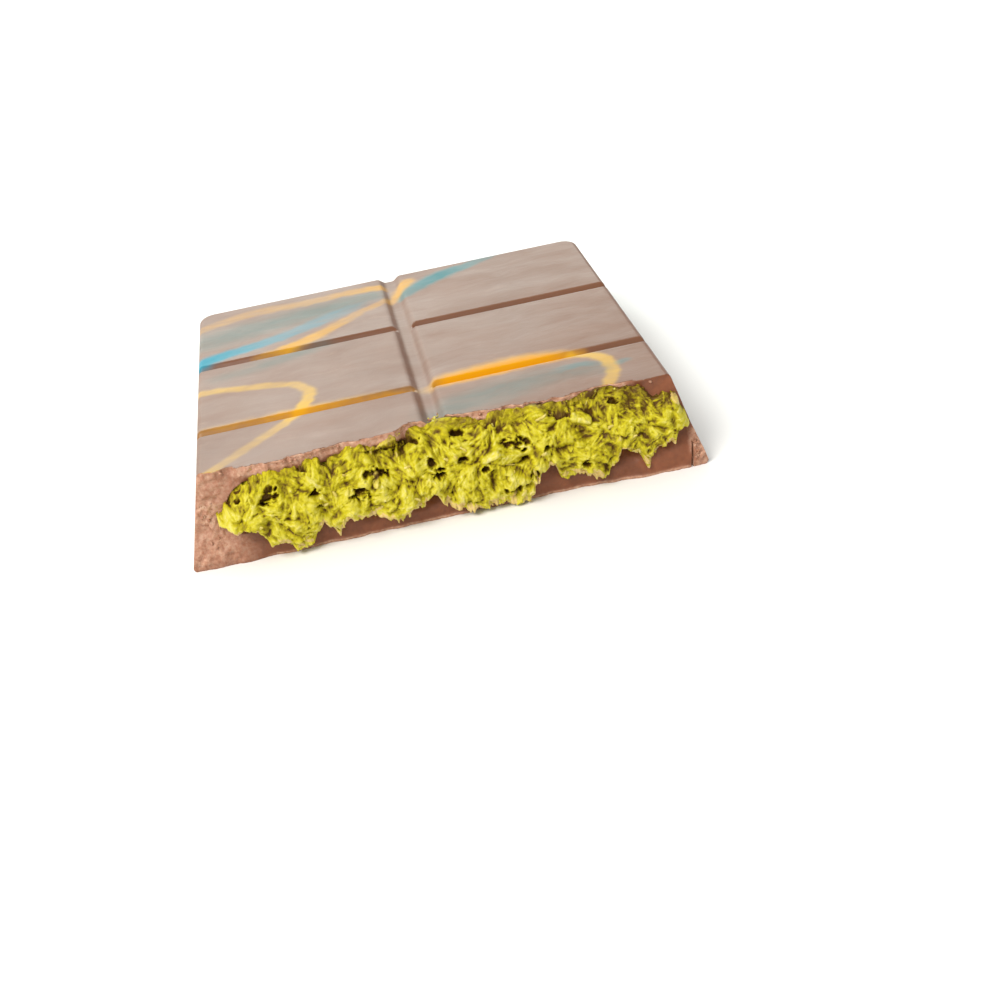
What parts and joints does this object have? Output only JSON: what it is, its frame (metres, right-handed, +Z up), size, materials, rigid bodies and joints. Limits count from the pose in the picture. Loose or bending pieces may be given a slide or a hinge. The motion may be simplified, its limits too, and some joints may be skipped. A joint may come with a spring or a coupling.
{
  "type": "filled chocolate bar piece",
  "caption": "Broken half of a moulded milk chocolate bar with square pads and grooves, filled with green pistachio cream and shredded pastry that shows at the break.",
  "frame": {"origin": "middle of the underside of the piece's bounding box", "axes": "+Z up out of the padded top, +Y towards the moulded back end, -Y towards the break, +X to the right seen from the break"},
  "size_m": [0.0806, 0.0792, 0.015],
  "materials": {
    "milk_chocolate": "smooth moulded chocolate with a soft satin sheen and coloured streaks",
    "pistachio_filling": "moist, craggy, yellow-green paste with toasted pastry shreds",
    "toasted_pastry": "thin dry golden shreds"
  },
  "bodies": {
    "root": {"chocolate_shell": "milk_chocolate", "filling": "pistachio_filling"}
  },
  "joints": []
}
